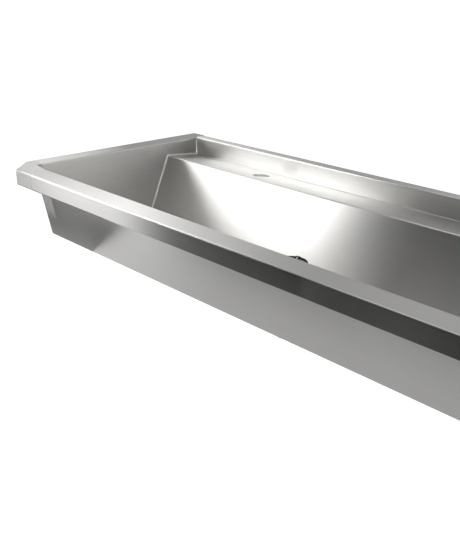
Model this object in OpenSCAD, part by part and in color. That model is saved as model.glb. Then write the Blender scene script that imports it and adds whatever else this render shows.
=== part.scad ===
// Wall-hung trough sink folded from stainless sheet, seen from the front: X along the rim,
// Y from the front towards the wall (the wall plane is Y = 0), Z up. The origin is the middle
// of the four wall fixing holes. Millimetres.

/* [Trough] */
// Length over the side rims
trough_len = 1200; // [1100:10:1400]
// Depth from the rim face to the wall
trough_dep = 482; // [470:1:520]
// Height of the body under the rim top
body_h = 148; // [140:1:156]
// Thickness of the sheet
sheet_t = 1.5; // [1.2:0.1:2]
// Inner radius of every fold
fold_r = 1.5; // [1:0.1:2]

/* [Rim] */
// Width of the front rim
front_rim = 43; // [38:1:48]
// Width of each side rim
side_rim = 41; // [38:1:46]
// Width of the back rim
back_rim = 24; // [18:1:28]
// Height of the turned-down rim face
rim_face = 31; // [26:1:34]
// Length of the lip folded in under the rim face
lip_len = 10; // [7:1:13]
// Leg of the 45 degree cut at each front corner
corner_cut = 47; // [40:1:52]
// Length of the corner piece along the front
corner_len = 80; // [74:1:100]

/* [Bowl] */
// How far the front wall leans back from rim to bottom
front_lean = 29; // [22:1:34]
// How far the rear wall runs out from bottom to ledge
rear_run = 49; // [42:1:56]
// Depth of the tap ledge
ledge_dep = 85; // [80:1:95]
// Height of the upstand behind the ledge
upstand_h = 39; // [34:1:42]
// How much higher the ledge is at its front edge
ledge_rise = 8; // [4:1:9]

/* [Taps] */
// Diameter of each tap hole
tap_d = 35; // [28:1:36]
// Distance between the two tap holes
tap_pitch = 600; // [450:10:640]
// Thickness of the plate under each tap hole
tap_plate_t = 3; // [2:0.5:4]

/* [Waste] */
// Distance of the waste from the rim face
waste_y = 192; // [185:1:200]
// Outer radius of the threaded tail
tail_r = 23.9; // [23.4:0.1:24.2]
// Length of the tail under the flange
tail_len = 66; // [60:1:75]
// Depth of the pressed dish round the waste
dish_dep = 4; // [3:0.5:5]

/* [Standing overflow] */
// Height of the overflow's edge over the bottom
overflow_h = 62; // [54:1:68]
// Outer radius of the head
head_r = 29; // [27:1:32]
// Outer radius of the pipe
pipe_r = 19; // [17.5:0.5:20]

/* [Brackets] */
// Distance of each bracket from the end of the trough
bracket_inset = 200; // [170:5:225]
// Distance between the two rows of wall fixing holes
fix_pitch_z = 100; // [80:5:110]
// Diameter of the wall fixing holes
fix_d = 9; // [8:0.5:11]
// Thickness of the bracket plate
bracket_t = 4; // [3:0.5:5]
// Width of the bracket flanges
bracket_w = 48; // [44:1:56]

/* [Hidden] */
$fn = 64;
eps = 0.01;
run_gap = 0.08;
thread_gap = 0.05;
hole_gap = 0.5;
rim_z = 130;
fold_n = 5;
strip_w = 12;
plate_top = 10;
side_seam = 60;
dish_r = 60;
dish_flat_r = 46;
waste_hole_r = tail_r + 1.1;
flange_r = 41;
flange_t = 2;
seal_t = 1.5;
seal_r = 38;
low_seal_t = 3;
slip_t = 1.5;
nut_h = 9;
nut_af = 64;
tail_wall = 3.4;
tail_free = 20;
bore_r = tail_r - tail_wall;
bung_len = 23;
collar_t = 4;
collar_r = 26;
pipe_wall = 2;
head_h = 8;
ring_h = 3;
ring_w = 3.2;
cone_h = 20;
grip_r = 1.5;
grip_in = 21;
grip_flat = 0.3;
grip_turn = 16;
slot_dep = 2.2;
hood_t = 1.6;
hood_h = 1.2;
hood_half = 4;
hat_h = 12;
hat_t = 2;
hat_w = 40;
hat_brim = 15;
hat_y = 95;
hat_len = 210;
pad_t = 3;
bracket_y = 112;
bracket_edge = 11;
bracket_drop = 50;
flange_gap = 3;
bolt_r = 4;
bolt_ys = [140, 270];
bolt_af = 13;
bolt_head = 5.3;
weld_nut_h = 6.5;
washer_t = 1.6;
washer_r = 8;
damp_t = 3;
damp_in = 95;
damp_dep = 190;
damp_y = 105;
damp_gap = 40;
plate_w = 90;
plate_dep = 64;
lug_t = 2;
lug_w = 24;
lug_h = 34;
lug_bolt_r = 3;

half_len = trough_len / 2;
body_bot = -body_h;
floor_z = body_bot + sheet_t;
ledge_y = trough_dep - back_rim - ledge_dep;
ledge_z = -upstand_h + ledge_rise;
foot_y = ledge_y - rear_run;
upstand_y = trough_dep - back_rim;
lean_dir = [front_lean, body_bot] / norm([front_lean, body_bot]);
front_foot = [front_rim + front_lean * (body_h - sheet_t) / body_h, floor_z];
wall_start = [front_rim + front_lean * sheet_t / body_h, -sheet_t];
ledge_tilt = atan2(ledge_rise, ledge_dep);
ledge_mid = [(ledge_y + upstand_y) / 2, (ledge_z - upstand_h) / 2];
hat_z = body_bot - hat_h;
pad_z = hat_z - pad_t;
arm_z = pad_z - bracket_t;
fix_x = half_len - bracket_inset;
fix_z = -rim_z;
bracket_low = fix_z - fix_pitch_z / 2 - bracket_drop;
bracket_high = fix_z + fix_pitch_z / 2 + bracket_edge;
back_low = bracket_high + flange_gap;
damp_w = fix_x - hat_w / 2 - hat_brim - damp_gap - damp_in;
dish_z = floor_z - dish_dep;
flange_z = dish_z + seal_t;
seat_z = flange_z + flange_t;
head_top = floor_z + overflow_h;

// A folded sheet follows a path of corner points, with its visible side on the left.
function unit(v) = v / norm(v);
function left(d) = [-d[1], d[0]];
function spin(n, a) = [n[0] * cos(a) - n[1] * sin(a), n[0] * sin(a) + n[1] * cos(a)];
function fold(a, b, c) =
  let(d = unit(b - a), e = unit(c - b), th = atan2(d[0] * e[1] - d[1] * e[0], d * e),
      s = th > 0 ? 1 : -1, r = s > 0 ? fold_r : fold_r + sheet_t,
      n = left(d), m = b - d * r * tan(abs(th) / 2) + n * s * r)
  [for (k = [0:fold_n]) let(v = spin(n, th * k / fold_n)) [m - v * s * r, v]];
function run(path) =
  let(last = len(path) - 1, d = unit(path[1] - path[0]), e = unit(path[last] - path[last - 1]))
  concat([[path[0], left(d)]],
    [for (i = [1:last - 1]) each fold(path[i - 1], path[i], path[i + 1])],
    [[path[last], left(e)]]);
module sheet(path) {
  pts = run(path);
  n = len(pts) - 1;
  polygon(concat([for (p = pts) p[0]], [for (i = [n:-1:0]) pts[i][0] - pts[i][1] * sheet_t]));
}

// Moves local coordinates (x from the middle, y from the rim face, z from the rim top) home.
module home() translate([0, -trough_dep, rim_z]) children();
// Extrudes a (y, z) outline along X from x0 to x1.
module along_x(x0, x1) translate([x0, 0, 0]) rotate([90, 0, 90]) linear_extrude(x1 - x0) children();
// Extrudes an (x, z) outline along Y from y0 to y1.
module along_y(y0, y1) translate([0, y1, 0]) rotate([90, 0, 0]) linear_extrude(y1 - y0) children();
module both() { children(); mirror([1, 0, 0]) children(); }
module side(right) { if (right) mirror([1, 0, 0]) children(); else children(); }
module hexagon(af, h) cylinder(r = af / 2 / cos(30), h = h, $fn = 6);
module ring(ro, ri, h) difference() {
  cylinder(r = ro, h = h);
  translate([0, 0, -1]) cylinder(r = ri, h = h + 2);
}

rim_path = [[lip_len, -rim_face], [0, -rim_face], [0, 0]];
bowl_path = [front_foot, [foot_y, floor_z], [ledge_y, ledge_z], [upstand_y, -upstand_h],
  [upstand_y, 0], [trough_dep, 0], [trough_dep, back_low]];

// Pan
module tap_bores(r, h) for (s = [-1, 1])
  translate([s * tap_pitch / 2, ledge_mid[0], ledge_mid[1]]) rotate([-ledge_tilt, 0, 0])
    translate([0, 0, -h]) cylinder(r = r, h = h + 5);
module dish() translate([0, waste_y, floor_z]) rotate_extrude() polygon([
  [dish_r + eps, 0], [dish_r + eps, -sheet_t], [dish_r - 1, -sheet_t], [dish_flat_r, -dish_dep - sheet_t],
  [waste_hole_r, -dish_dep - sheet_t], [waste_hole_r, -dish_dep], [dish_flat_r + 1, -dish_dep],
  [dish_r, 0]]);
module pan() color("silver") home() {
  difference() {
    union() {
      along_x(-half_len + corner_len, half_len - corner_len)
        sheet(concat(rim_path, [[front_rim, 0]], bowl_path));
      both() along_x(-half_len + side_rim, -half_len + corner_len)
        sheet(concat([wall_start], bowl_path));
    }
    translate([0, waste_y, floor_z - 10]) cylinder(r = dish_r, h = 20);
    tap_bores(tap_d / 2, 10);
  }
  dish();
}

// End panels
module end_panel() translate([-half_len, 0, 0]) {
  along_x(side_rim - sheet_t, side_rim) polygon([
    wall_start - [sheet_t, 0], [front_rim + front_lean, body_bot], [foot_y + 3, body_bot],
    [trough_dep, back_low - 4], [trough_dep, -plate_top], [side_seam, -plate_top],
    [side_seam, -sheet_t]]);
  along_y(side_seam, trough_dep)
    sheet([[lip_len, -rim_face], [0, -rim_face], [0, 0], [side_rim, 0], [side_rim, -plate_top]]);
  translate([sheet_t, trough_dep - sheet_t, -rim_face + sheet_t])
    cube([side_rim - 2 * sheet_t, sheet_t, rim_face - 2 * sheet_t]);
}
module end_left() color("gainsboro") home() side(false) end_panel();
module end_right() color("gainsboro") home() side(true) end_panel();

// Front corner pieces: three mitred strips of the rim round a flat plate
mitre = strip_w * tan(22.5);
module rim_strip(len) along_x(0, len) sheet(concat(rim_path, [[strip_w, 0]]));
module region(pts) translate([0, 0, -rim_face - 1]) linear_extrude(rim_face + 2) polygon(pts);
module corner() translate([-half_len, 0, 0]) {
  c = corner_cut;
  w = 2 * strip_w;
  a = [[c - mitre, -strip_w], [c + 2 * mitre, w]];
  b = [[-strip_w, c - mitre], [w, c + 2 * mitre]];
  intersection() {
    rim_strip(corner_len);
    region([a[0], [corner_len + 5, -strip_w], [corner_len + 5, w], a[1]]);
  }
  intersection() {
    translate([0, c, 0]) rotate([0, 0, -45]) translate([-10, 0, 0]) rim_strip(c * sqrt(2) + 20);
    region([a[0], a[1], b[1], b[0]]);
  }
  intersection() {
    translate([0, side_seam, 0]) rotate([0, 0, -90]) rim_strip(side_seam);
    region([b[0], b[1], [w, side_seam + 5], [-strip_w, side_seam + 5]]);
  }
  e = strip_w - 2;
  m = mitre * e / strip_w;
  translate([0, 0, -sheet_t]) linear_extrude(sheet_t) polygon([[c + m, e], [corner_len, e],
    [corner_len, front_rim], [side_rim + 3, front_rim + 5], [side_rim, front_rim + 5],
    [side_rim, side_seam], [e, side_seam], [e, c + m]]);
}
module corner_left() color("lightgray") home() side(false) corner();
module corner_right() color("lightgray") home() side(true) corner();

// Plates under the tap holes
module tap_plate(s) color("darkgray") home()
  translate([s * tap_pitch / 2, ledge_mid[0], ledge_mid[1]]) rotate([-ledge_tilt, 0, 0])
    translate([0, 0, -sheet_t - tap_plate_t]) difference() {
      translate([-plate_w / 2, -plate_dep / 2, 0]) cube([plate_w, plate_dep, tap_plate_t]);
      translate([0, 0, -1]) cylinder(r = tap_d / 2, h = tap_plate_t + 2);
    }
module tap_plate_left() tap_plate(-1);
module tap_plate_right() tap_plate(1);

// Stiffening channels under the bottom
module at_bolts() for (y = bolt_ys) translate([0, y, 0]) children();
module stiffener(s) color("darkgray") home() translate([s * fix_x, 0, 0]) difference() {
  along_y(hat_y, hat_y + hat_len) polygon([
    [-hat_w / 2 - hat_brim, body_bot], [-hat_w / 2 - hat_brim, body_bot - hat_t],
    [-hat_w / 2, body_bot - hat_t], [-hat_w / 2, hat_z], [hat_w / 2, hat_z],
    [hat_w / 2, body_bot - hat_t], [hat_w / 2 + hat_brim, body_bot - hat_t],
    [hat_w / 2 + hat_brim, body_bot], [hat_w / 2 - hat_t, body_bot], [hat_w / 2 - hat_t, hat_z + hat_t],
    [-hat_w / 2 + hat_t, hat_z + hat_t], [-hat_w / 2 + hat_t, body_bot]]);
  at_bolts() translate([0, 0, hat_z - 1]) cylinder(r = bolt_r + hole_gap, h = hat_t + 2);
}
module stiffener_left() stiffener(-1);
module stiffener_right() stiffener(1);
module weld_nuts() color("dimgray") home() for (s = [-1, 1]) translate([s * fix_x, 0, 0])
  at_bolts() translate([0, 0, hat_z + hat_t]) difference() {
    hexagon(bolt_af, weld_nut_h);
    translate([0, 0, -1]) cylinder(r = bolt_r + thread_gap, h = weld_nut_h + 2);
  }

// Sound-damping pads
module damping_pad(s) color("dimgray") home()
  translate([s * (damp_in + damp_w / 2) - damp_w / 2, damp_y, body_bot - damp_t])
    cube([damp_w, damp_dep, damp_t]);
module damping_pad_left() damping_pad(-1);
module damping_pad_right() damping_pad(1);

// Wall brackets: a side plate with a top flange and a wall flange, folded inwards
module bracket() translate([-fix_x, 0, 0]) difference() {
  union() {
    along_x(-bracket_w / 2 - bracket_t + 2, -bracket_w / 2 + 2) polygon([
      [bracket_y, pad_z], [bracket_y, arm_z - 5], [bracket_y + 190, arm_z - 18],
      [trough_dep, bracket_low], [trough_dep, bracket_high], [trough_dep - 22, bracket_high],
      [trough_dep - 84, pad_z]]);
    translate([-bracket_w / 2 + 2 - eps, bracket_y, arm_z])
      cube([bracket_w + eps, trough_dep - bracket_y, bracket_t]);
    translate([-bracket_w / 2 + 2 - eps, trough_dep - bracket_t, bracket_low])
      cube([bracket_w + eps, bracket_t, bracket_high - bracket_low]);
  }
  at_bolts() translate([0, 0, arm_z - 1]) cylinder(r = bolt_r + hole_gap, h = bracket_t + 2);
  for (z = [-0.5, 0.5]) translate([0, trough_dep - bracket_t - 1, fix_z + z * fix_pitch_z])
    rotate([-90, 0, 0]) cylinder(r = fix_d / 2, h = bracket_t + 2);
}
module bracket_left() color("slategray") home() side(false) bracket();
module bracket_right() color("slategray") home() side(true) bracket();
module bracket_strips() color("black") home() both() translate([-fix_x, 0, pad_z]) difference() {
  translate([-hat_w / 2, bracket_y, 0]) cube([hat_w, hat_y + hat_len - bracket_y, pad_t]);
  at_bolts() translate([0, 0, -1]) cylinder(r = bolt_r + hole_gap, h = pad_t + 2);
}
module bracket_washers() color("silver") home() both() translate([-fix_x, 0, arm_z - washer_t])
  at_bolts() ring(washer_r, bolt_r + hole_gap, washer_t);
module bracket_bolts() color("silver") home() both()
  translate([-fix_x, 0, arm_z - washer_t - bolt_head]) at_bolts() {
    hexagon(bolt_af, bolt_head);
    cylinder(r = bolt_r, h = hat_z + hat_t + weld_nut_h + 1.5 - (arm_z - washer_t - bolt_head));
  }

// Waste
module at_waste(z) home() translate([0, waste_y, z]) children();
module waste_body() color("silver") at_waste(0) {
  translate([0, 0, flange_z]) rotate_extrude() polygon([
    [bore_r, flange_t], [bore_r, -tail_len], [tail_r - 1, -tail_len], [tail_r, 1 - tail_len],
    [tail_r, -tail_free], [tail_r - 0.8, -tail_free], [tail_r - 0.8, 1.5 - tail_free],
    [tail_r, 1.5 - tail_free], [tail_r, 0],
    [flange_r, 0], [flange_r, 1], [flange_r - 1.5, flange_t]]);
  for (a = [0, 90]) rotate([0, 0, a]) translate([-bore_r - 1, -1.5, flange_z - 42])
    cube([2 * bore_r + 2, 3, 3]);
}
module waste_seal_top() color("black") at_waste(dish_z) ring(flange_r - 2, waste_hole_r, seal_t);
module waste_seal_bottom() color("black") at_waste(dish_z - sheet_t - low_seal_t)
  ring(seal_r, tail_r + run_gap, low_seal_t);
module waste_washer() color("white") at_waste(dish_z - sheet_t - low_seal_t - slip_t)
  ring(seal_r, tail_r + run_gap, slip_t);
module waste_backnut() color("silver") at_waste(dish_z - sheet_t - low_seal_t - slip_t - nut_h)
  difference() {
    hexagon(nut_af, nut_h);
    translate([0, 0, -1]) cylinder(r = tail_r + thread_gap, h = nut_h + 2);
  }

// Standing overflow: it lifts straight out of the waste
spigot_r = bore_r - 2.5;
module standpipe() color("silver") at_waste(0) rotate_extrude() polygon([
  [spigot_r - pipe_wall, seat_z - bung_len], [spigot_r, seat_z - bung_len],
  [spigot_r, seat_z], [collar_r, seat_z], [collar_r, seat_z + collar_t - 1],
  [collar_r - 1, seat_z + collar_t], [pipe_r, seat_z + collar_t],
  [pipe_r, head_top - head_h - cone_h], [head_r - 0.5, head_top - head_h],
  [head_r - 0.5, head_top - ring_h], [head_r - 2.5, head_top - ring_h],
  [head_r - 2.5, head_top - head_h + 1], [pipe_r - pipe_wall, head_top - head_h - cone_h + 1],
  [pipe_r - pipe_wall, seat_z + collar_t], [spigot_r - pipe_wall, seat_z + 1]]);
module standpipe_ring() color("black") at_waste(0) {
  difference() {
    rotate_extrude() polygon([
      [head_r - ring_w, head_top - ring_h], [head_r, head_top - ring_h], [head_r, head_top - 1],
      [head_r - 1, head_top], [head_r - ring_w + 1, head_top], [head_r - ring_w, head_top - 1]]);
    rotate([0, 0, grip_turn]) along_y(hood_t - head_r, head_r - hood_t) polygon([
      [-grip_r - 0.5, head_top - slot_dep], [grip_r + 0.5, head_top - slot_dep],
      [grip_r + 1.5, head_top + 1], [-grip_r - 1.5, head_top + 1]]);
  }
  // A low hood of the ring stands behind each lug
  for (a = [0, 180]) rotate([0, 0, grip_turn + a]) intersection() {
    rotate_extrude() polygon([
      [head_r - hood_t + 0.3, head_top - 1.8], [head_r - 0.3, head_top - 1.8],
      [head_r - 0.3, head_top + hood_h], [head_r - hood_t + 0.3, head_top + hood_h]]);
    translate([-hood_half, 0, head_top - 2]) cube([2 * hood_half, 2 * head_r, 2 + hood_h]);
  }
}
module standpipe_bung() color("black") at_waste(seat_z - bung_len)
  ring(bore_r - run_gap, spigot_r, bung_len - 1);
module standpipe_grip() color("silver") at_waste(head_top - slot_dep)
  for (a = [0, 180]) rotate([0, 0, grip_turn + a]) intersection() {
    translate([0, 0, grip_r - grip_flat]) along_y(grip_in, head_r - hood_t - 0.1) circle(r = grip_r, $fn = 32);
    translate([-grip_r - 1, 0, 0]) cube([2 * grip_r + 2, 2 * head_r, 3 * grip_r]);
  }

// Earth lug
lug_top = ledge_mid[1] - sheet_t - 1.5;
lug_bolt_z = lug_top - lug_h + 12;
module earth_lug() color("silver") home() difference() {
  along_x(-lug_w / 2, lug_w / 2) intersection() {
    polygon([[ledge_mid[0], 0], [ledge_mid[0], lug_top - lug_h],
      [ledge_mid[0] + lug_t, lug_top - lug_h], [ledge_mid[0] + lug_t, 0]]);
    polygon([[ledge_y, ledge_z - sheet_t / cos(ledge_tilt)],
      [upstand_y, -upstand_h - sheet_t / cos(ledge_tilt)],
      [upstand_y, -rim_face - 60], [ledge_y, -rim_face - 60]]);
  }
  translate([0, ledge_mid[0] - 5, lug_bolt_z]) rotate([-90, 0, 0])
    cylinder(r = lug_bolt_r + hole_gap, h = 20);
}
module at_lug(y) home() translate([0, ledge_mid[0] + y, lug_bolt_z]) rotate([-90, 0, 0]) children();
module earth_bolt() color("silver") {
  at_lug(-1.2 - 4) hexagon(10, 4);
  at_lug(-1.2 - 4) cylinder(r = lug_bolt_r, h = 22);
}
module earth_washers() color("silver") {
  at_lug(-1.2) ring(6, lug_bolt_r + hole_gap, 1.2);
  at_lug(lug_t) ring(6, lug_bolt_r + hole_gap, 1.2);
}
module earth_nut() color("goldenrod") at_lug(lug_t + 1.2) difference() {
  hexagon(10, 5);
  translate([0, 0, -1]) cylinder(r = lug_bolt_r + thread_gap, h = 7);
}

pan();
end_left();
end_right();
corner_left();
corner_right();
tap_plate_left();
tap_plate_right();
stiffener_left();
stiffener_right();
damping_pad_left();
damping_pad_right();
weld_nuts();
bracket_left();
bracket_right();
bracket_strips();
bracket_bolts();
bracket_washers();
waste_body();
waste_seal_top();
waste_seal_bottom();
waste_washer();
waste_backnut();
standpipe();
standpipe_ring();
standpipe_bung();
standpipe_grip();
earth_lug();
earth_bolt();
earth_nut();
earth_washers();
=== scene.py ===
import math
import bpy
import bmesh
from mathutils import Matrix, Vector


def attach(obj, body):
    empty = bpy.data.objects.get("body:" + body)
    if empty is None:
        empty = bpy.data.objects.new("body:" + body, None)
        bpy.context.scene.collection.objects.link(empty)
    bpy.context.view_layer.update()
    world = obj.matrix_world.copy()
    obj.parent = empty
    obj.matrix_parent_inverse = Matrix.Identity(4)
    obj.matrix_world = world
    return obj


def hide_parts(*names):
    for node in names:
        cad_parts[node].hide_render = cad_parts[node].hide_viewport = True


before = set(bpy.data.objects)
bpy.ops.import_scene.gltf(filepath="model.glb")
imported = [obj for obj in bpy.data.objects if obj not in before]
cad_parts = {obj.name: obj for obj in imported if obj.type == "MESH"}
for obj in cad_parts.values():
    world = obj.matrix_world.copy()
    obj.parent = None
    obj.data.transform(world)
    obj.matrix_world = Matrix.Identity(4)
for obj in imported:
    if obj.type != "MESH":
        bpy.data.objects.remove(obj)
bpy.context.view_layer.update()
scene = bpy.context.scene
print("frame loaded")


class Sizes(dict):
    # A dictionary whose values can also be read with a dot
    __getattr__ = dict.__getitem__


def linkObject(name, data):
    item = bpy.data.objects.new(name, data)
    scene.collection.objects.link(item)
    return item


# Camera at the photograph's angle: its axes in the part's frame, and a small shift to the pixel centres
cameraSetup = Sizes(
    place=(0.82710, -1.16343, 0.49408), right=(0.667856714, 0.744289865, 0.0000751),
    down=(0.274343136, -0.246076304, -0.929614058), forward=(-0.691883843, 0.620869591, -0.368534528), lens=51.01,
    sensor=36, shift=0.5 / 553)


def makeCamera(setup):
    data = bpy.data.cameras.new("mainCamera")
    data.lens, data.sensor_width = setup.lens, setup.sensor
    data.shift_x, data.shift_y = -setup.shift, setup.shift
    cam = linkObject("mainCamera", data)
    axes = (Vector(setup.right), -Vector(setup.down), -Vector(setup.forward))
    cam.matrix_world = Matrix.Translation(setup.place) @ Matrix(axes).transposed().to_4x4()
    scene.camera = cam


makeCamera(cameraSetup)
print("camera placed")


# Small helpers for node trees
def emptyTree(owner):
    owner.use_nodes = True
    owner.node_tree.nodes.clear()
    return owner.node_tree


def addNode(tree, kind, inputs=None, **settings):
    node = tree.nodes.new("ShaderNode" + kind)
    for key, value in settings.items():
        setattr(node, key, value)
    for key, value in (inputs or {}).items():
        if isinstance(value, bpy.types.NodeSocket):
            tree.links.new(value, node.inputs[key])
        else:
            node.inputs[key].default_value = value
    return node


def mathNode(tree, operation, *values):
    return addNode(tree, "Math", dict(enumerate(values)), operation=operation).outputs[0]


def remap(tree, value, low, high, toLow=0.0, toHigh=1.0, smooth=True):
    kind = "SMOOTHSTEP" if smooth else "LINEAR"
    return addNode(tree, "MapRange", dict(enumerate((value, low, high, toLow, toHigh))),
                   interpolation_type=kind).outputs[0]


def mixColour(tree, share, first, second):
    return addNode(tree, "Mix", {0: share, 6: first, 7: second}, data_type="RGBA").outputs[2]


def newGroup(name, inputs, outputs):
    # Every group takes a Vector, and maybe further vectors or numbers, and gives out numbers
    tree = bpy.data.node_groups.new(name, "ShaderNodeTree")
    for label, value in {"Vector": (0, 0, 0), **inputs}.items():
        kind = "NodeSocketVector" if isinstance(value, tuple) else "NodeSocketFloat"
        tree.interface.new_socket(label, in_out="INPUT", socket_type=kind).default_value = value
    for label in outputs:
        tree.interface.new_socket(label, in_out="OUTPUT", socket_type="NodeSocketFloat")
    return tree, tree.nodes.new("NodeGroupInput").outputs, tree.nodes.new("NodeGroupOutput").inputs


def placeGroup(tree, group, where, **inputs):
    return addNode(tree, "Group", {"Vector": where, **inputs}, node_tree=group).outputs


def noise(tree, vector, scale, detail=2.0, rough=0.5):
    return addNode(tree, "TexNoise", {"Vector": vector, "Scale": scale, "Detail": detail,
                                      "Roughness": rough}).outputs["Fac"]


def stretched(tree, vector, stretch):
    return addNode(tree, "VectorMath", {0: vector, 1: stretch}, operation="MULTIPLY").outputs[0]


# Effects that several materials share. The noises give scale, detail and roughness.
effectLooks = Sizes(
    fineNoise=(1.0, 3.0, 0.6), broadNoise=(1.0, 2.0, 0.5), broadShare=0.22, streakRange=(0.3, 0.7),
    waveNoise=(1.0, 0.4), smudgeNoise=(6.0, 2.0, 0.5), smudgeRange=(0.42, 0.75), speckScale=90.0,
    speckEdge=(0.03, 0.09), speckPick=(0.93, 0.95), raggedNoise=(60.0, 2.0), ragged=0.006,
    leanRange=(-0.482, -0.462), groundEdge=(0.001, 0.006), backEdge=0.006)


def makeBrushedGrain(look):
    tree, given, made = newGroup("brushedGrain", {"Stretch": (8, 1200, 1200)}, ["Height", "Streak"])
    fine = noise(tree, stretched(tree, given["Vector"], given["Stretch"]), *look.fineNoise)
    tree.links.new(fine, made["Height"])
    broadStretch = addNode(tree, "VectorMath", {0: given["Stretch"], "Scale": look.broadShare},
                           operation="SCALE").outputs[0]
    broad = noise(tree, stretched(tree, given["Vector"], broadStretch), *look.broadNoise)
    tree.links.new(remap(tree, broad, *look.streakRange), made["Streak"])
    return tree


def makeSheetWaves(look):
    tree, given, made = newGroup("sheetWaves", {"Scale": 4.0}, ["Height"])
    tree.links.new(noise(tree, given["Vector"], given["Scale"], *look.waveNoise), made["Height"])
    return tree


def makeHandling(look):
    tree, given, made = newGroup("handlingMarks", {"Amount": 1.0}, ["Smudge", "Speck"])
    smudge = remap(tree, noise(tree, given["Vector"], *look.smudgeNoise), *look.smudgeRange)
    tree.links.new(mathNode(tree, "MULTIPLY", smudge, given["Amount"]), made["Smudge"])
    cells = addNode(tree, "TexVoronoi", {"Vector": given["Vector"], "Scale": look.speckScale})
    dot = remap(tree, cells.outputs["Distance"], *look.speckEdge, 1.0, 0.0)
    pick = addNode(tree, "SeparateColor", {0: cells.outputs["Color"]}).outputs[0]
    speck = mathNode(tree, "MULTIPLY", dot, remap(tree, pick, *look.speckPick))
    tree.links.new(mathNode(tree, "MULTIPLY", speck, given["Amount"]), made["Speck"])
    return tree


def makeGroundCornerAndShade(look):
    # 1 where the front corners of the rim were welded and ground: near both ends, at the front. The mask makes the
    # patch rougher and also darker; the darker colour is painted shade, for the darker reflection seen there
    tree, given, made = newGroup("groundCornerAndShade", {"Start": 0.492, "Lean": 0.03, "Back": -0.418}, ["Mask"])
    split = addNode(tree, "SeparateXYZ", {0: given["Vector"]}).outputs
    ragged = mathNode(tree, "MULTIPLY", noise(tree, given["Vector"], *look.raggedNoise), look.ragged)
    across = mathNode(tree, "ADD", mathNode(tree, "ABSOLUTE", split["X"]), ragged)
    leaning = remap(tree, split["Y"], *look.leanRange, 0.0, given["Lean"], False)
    past = mathNode(tree, "SUBTRACT", across, mathNode(tree, "ADD", given["Start"], leaning))
    along = remap(tree, past, *look.groundEdge)
    front = remap(tree, split["Y"], given["Back"], mathNode(tree, "SUBTRACT", given["Back"], look.backEdge))
    tree.links.new(mathNode(tree, "MULTIPLY", along, front), made["Mask"])
    return tree


brushedGrain, sheetWaves = makeBrushedGrain(effectLooks), makeSheetWaves(effectLooks)
handlingMarks, groundCornerAndShade = makeHandling(effectLooks), makeGroundCornerAndShade(effectLooks)
print("shared effects built")


def newMaterial(name, metallic, roughness, extra=None):
    mat = bpy.data.materials.new(name)
    mat.use_nodes = True
    shader = mat.node_tree.nodes["Principled BSDF"]
    shader.inputs["Metallic"].default_value = metallic
    shader.inputs["Roughness"].default_value = roughness
    for key, value in (extra or {}).items():
        shader.inputs[key].default_value = value
    where = addNode(mat.node_tree, "TexCoord").outputs["Object"]
    return mat, mat.node_tree, shader, where


# Brushed stainless sheet: grain along one axis, soft waves of the sheet, marks of use, and the ground corners, which
# are rougher and painted darker as shade
brushedLooks = Sizes(
    metallic=1.0, stretch=Sizes(alongX=(7, 1100, 1100), alongY=(1100, 7, 1100)),
    way=Sizes(alongX=(1, 0, 0), alongY=(0, 1, 0)), light=(0.658, 0.653, 0.638, 1), dark=(0.642, 0.637, 0.622, 1),
    # The colour of the ground corners below is darker: painted shade
    ground=(0.50, 0.495, 0.485, 1), speck=(0.9, 0.9, 0.9, 1), rough=0.28, anisotropy=0.9, turn=0.25,
    streakRough=0.012, smudgeRough=0.02, groundRough=0.14, speckRough=0.3, grainDepth=0.0000015, waveScale=4.0,
    waveDepth=0.0005)


def makeBrushed(name, grain, look):
    mat, tree, shader, where = newMaterial(
        name, look.metallic, look.rough, {"Anisotropic": look.anisotropy, "Anisotropic Rotation": look.turn})
    grainWay = addNode(tree, "CombineXYZ", dict(enumerate(look.way[grain]))).outputs[0]
    tree.links.new(grainWay, shader.inputs["Tangent"])
    streaks = placeGroup(tree, brushedGrain, where, Stretch=look.stretch[grain])
    marks = placeGroup(tree, handlingMarks, where)
    ground = placeGroup(tree, groundCornerAndShade, where)["Mask"]
    swing = placeGroup(tree, sheetWaves, where, Scale=look.waveScale)["Height"]
    colour = mixColour(tree, streaks["Streak"], look.dark, look.light)
    # Ground corners painted darker: painted shade for the darker reflection there
    colour = mixColour(tree, ground, colour, look.ground)
    colour = mixColour(tree, marks["Speck"], colour, look.speck)
    tree.links.new(colour, shader.inputs["Base Color"])
    rough = remap(tree, streaks["Streak"], 0, 1, look.rough + look.streakRough, look.rough, False)
    for mask, more in ((marks["Smudge"], "smudgeRough"), (ground, "groundRough"), (marks["Speck"], "speckRough")):
        rough = mathNode(tree, "MULTIPLY_ADD", mask, look[more], rough)
    tree.links.new(rough, shader.inputs["Roughness"])
    low = addNode(tree, "Bump", {"Strength": 1.0, "Distance": look.waveDepth, "Height": swing})
    fine = addNode(tree, "Bump", {"Strength": 1.0, "Distance": look.grainDepth, "Height": streaks["Height"],
                                  "Normal": low.outputs[0]})
    tree.links.new(fine.outputs[0], shader.inputs["Normal"])
    return mat


sheetAlongX = makeBrushed("brushedSheetAlongX", "alongX", brushedLooks)
sheetAlongY = makeBrushed("brushedSheetAlongY", "alongY", brushedLooks)
print("sheet materials built")


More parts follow.
